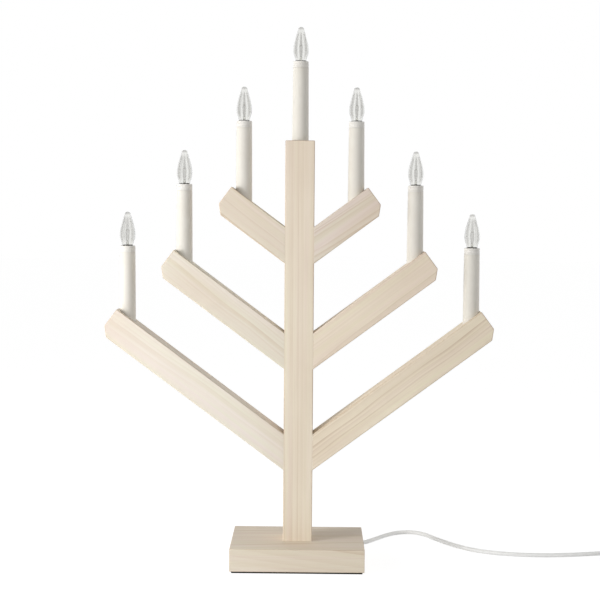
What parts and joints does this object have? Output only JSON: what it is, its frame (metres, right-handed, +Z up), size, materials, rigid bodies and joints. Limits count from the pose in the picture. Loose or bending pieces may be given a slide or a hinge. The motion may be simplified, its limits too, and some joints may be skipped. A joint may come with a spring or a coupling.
{
  "type": "electric advent candlestick",
  "caption": "Electric advent candlestick in whitewashed square pine: a post on a block with slanting arms in pairs, each with a candle sleeve and a screw-in clear flame bulb.",
  "frame": {"origin": "centre of the underside of the pad under the base block, without the cord", "axes": "+Z up along the post, +Y from the front towards the back where the cord leaves, +X to the right seen from the front"},
  "size_m": [0.5905, 0.1934, 0.526],
  "materials": {
    "whitewashed_pine": "matt white glaze over pine, grain showing",
    "beech_dowel": "bare",
    "felt_pad": "matt",
    "ivory_sleeve": "satin",
    "white_plastic": "satin",
    "clear_glass": "clear, polished",
    "cap_brass": "nickelled thread",
    "tip_solder": "solder",
    "screw_steel": "zinc plated",
    "white_cord": "satin PVC"
  },
  "bodies": {
    "root": {"base_pad": "felt_pad", "base_block": "whitewashed_pine", "post": "whitewashed_pine", "arm_lower_left": "whitewashed_pine", "arm_lower_right": "whitewashed_pine", "arm_middle_left": "whitewashed_pine", "arm_middle_right": "whitewashed_pine", "arm_upper_left": "whitewashed_pine", "arm_upper_right": "whitewashed_pine", "dowel_lower_upper": "beech_dowel", "dowel_lower_lower": "beech_dowel", "dowel_middle_upper": "beech_dowel", "dowel_middle_lower": "beech_dowel", "dowel_upper_upper": "beech_dowel", "dowel_upper_lower": "beech_dowel", "base_screw_left": "screw_steel", "base_screw_right": "screw_steel", "terminal_block": "white_plastic", "cord_cores": "white_cord", "strain_relief": "white_cord", "cord_flex": "white_cord", "cord_coil": "white_cord", "plug": "white_cord", "loom_left": "white_cord", "loom_right": "white_cord", "sleeve_lower_left": "ivory_sleeve", "socket_lower_left": "white_plastic", "sleeve_middle_left": "ivory_sleeve", "socket_middle_left": "white_plastic", "sleeve_upper_left": "ivory_sleeve", "socket_upper_left": "white_plastic", "sleeve_lower_right": "ivory_sleeve", "socket_lower_right": "white_plastic", "sleeve_middle_right": "ivory_sleeve", "socket_middle_right": "white_plastic", "sleeve_upper_right": "ivory_sleeve", "socket_upper_right": "white_plastic", "sleeve_top": "ivory_sleeve", "socket_top": "white_plastic"},
    "bulb_lift_lower_left": {"bulb_tip_lower_left": "tip_solder"},
    "bulb_lower_left": {"bulb_glass_lower_left": "clear_glass", "bulb_cap_lower_left": "cap_brass"},
    "bulb_lift_middle_left": {"bulb_tip_middle_left": "tip_solder"},
    "bulb_middle_left": {"bulb_glass_middle_left": "clear_glass", "bulb_cap_middle_left": "cap_brass"},
    "bulb_lift_upper_left": {"bulb_tip_upper_left": "tip_solder"},
    "bulb_upper_left": {"bulb_glass_upper_left": "clear_glass", "bulb_cap_upper_left": "cap_brass"},
    "bulb_lift_lower_right": {"bulb_tip_lower_right": "tip_solder"},
    "bulb_lower_right": {"bulb_glass_lower_right": "clear_glass", "bulb_cap_lower_right": "cap_brass"},
    "bulb_lift_middle_right": {"bulb_tip_middle_right": "tip_solder"},
    "bulb_middle_right": {"bulb_glass_middle_right": "clear_glass", "bulb_cap_middle_right": "cap_brass"},
    "bulb_lift_upper_right": {"bulb_tip_upper_right": "tip_solder"},
    "bulb_upper_right": {"bulb_glass_upper_right": "clear_glass", "bulb_cap_upper_right": "cap_brass"},
    "bulb_lift_top": {"bulb_tip_top": "tip_solder"},
    "bulb_top": {"bulb_glass_top": "clear_glass", "bulb_cap_top": "cap_brass"}
  },
  "joints": [
    {"name": "bulb_lower_left_rise", "type": "slide", "parent": "root", "child": "bulb_lift_lower_left", "axis": [0, 0, 1], "range_m": [0, 0.00725]},
    {"name": "bulb_lower_left_turn", "type": "hinge", "parent": "bulb_lift_lower_left", "child": "bulb_lower_left", "pos_m": [-0.16872, 0, 0.31267], "axis": [0, 0, 1], "range_deg": [0, 1440]},
    {"name": "bulb_middle_left_rise", "type": "slide", "parent": "root", "child": "bulb_lift_middle_left", "axis": [0, 0, 1], "range_m": [0, 0.00725]},
    {"name": "bulb_middle_left_turn", "type": "hinge", "parent": "bulb_lift_middle_left", "child": "bulb_middle_left", "pos_m": [-0.11296, 0, 0.37326], "axis": [0, 0, 1], "range_deg": [0, 1440]},
    {"name": "bulb_upper_left_rise", "type": "slide", "parent": "root", "child": "bulb_lift_upper_left", "axis": [0, 0, 1], "range_m": [0, 0.00725]},
    {"name": "bulb_upper_left_turn", "type": "hinge", "parent": "bulb_lift_upper_left", "child": "bulb_upper_left", "pos_m": [-0.05479, 0, 0.43495], "axis": [0, 0, 1], "range_deg": [0, 1440]},
    {"name": "bulb_lower_right_rise", "type": "slide", "parent": "root", "child": "bulb_lift_lower_right", "axis": [0, 0, 1], "range_m": [0, 0.00725]},
    {"name": "bulb_lower_right_turn", "type": "hinge", "parent": "bulb_lift_lower_right", "child": "bulb_lower_right", "pos_m": [0.16872, 0, 0.31267], "axis": [0, 0, 1], "range_deg": [0, 1440]},
    {"name": "bulb_middle_right_rise", "type": "slide", "parent": "root", "child": "bulb_lift_middle_right", "axis": [0, 0, 1], "range_m": [0, 0.00725]},
    {"name": "bulb_middle_right_turn", "type": "hinge", "parent": "bulb_lift_middle_right", "child": "bulb_middle_right", "pos_m": [0.11296, 0, 0.37326], "axis": [0, 0, 1], "range_deg": [0, 1440]},
    {"name": "bulb_upper_right_rise", "type": "slide", "parent": "root", "child": "bulb_lift_upper_right", "axis": [0, 0, 1], "range_m": [0, 0.00725]},
    {"name": "bulb_upper_right_turn", "type": "hinge", "parent": "bulb_lift_upper_right", "child": "bulb_upper_right", "pos_m": [0.05479, 0, 0.43495], "axis": [0, 0, 1], "range_deg": [0, 1440]},
    {"name": "bulb_top_rise", "type": "slide", "parent": "root", "child": "bulb_lift_top", "axis": [0, 0, 1], "range_m": [0, 0.00725]},
    {"name": "bulb_top_turn", "type": "hinge", "parent": "bulb_lift_top", "child": "bulb_top", "pos_m": [0, 0, 0.4928], "axis": [0, 0, 1], "range_deg": [0, 1440]}
  ],
  "couplings": [
    {"joint": "bulb_lower_left_turn", "follows": "bulb_lower_left_rise", "rad_per_m": 3463.7},
    {"joint": "bulb_middle_left_turn", "follows": "bulb_middle_left_rise", "rad_per_m": 3463.7},
    {"joint": "bulb_upper_left_turn", "follows": "bulb_upper_left_rise", "rad_per_m": 3463.7},
    {"joint": "bulb_lower_right_turn", "follows": "bulb_lower_right_rise", "rad_per_m": 3463.7},
    {"joint": "bulb_middle_right_turn", "follows": "bulb_middle_right_rise", "rad_per_m": 3463.7},
    {"joint": "bulb_upper_right_turn", "follows": "bulb_upper_right_rise", "rad_per_m": 3463.7},
    {"joint": "bulb_top_turn", "follows": "bulb_top_rise", "rad_per_m": 3463.7}
  ]
}
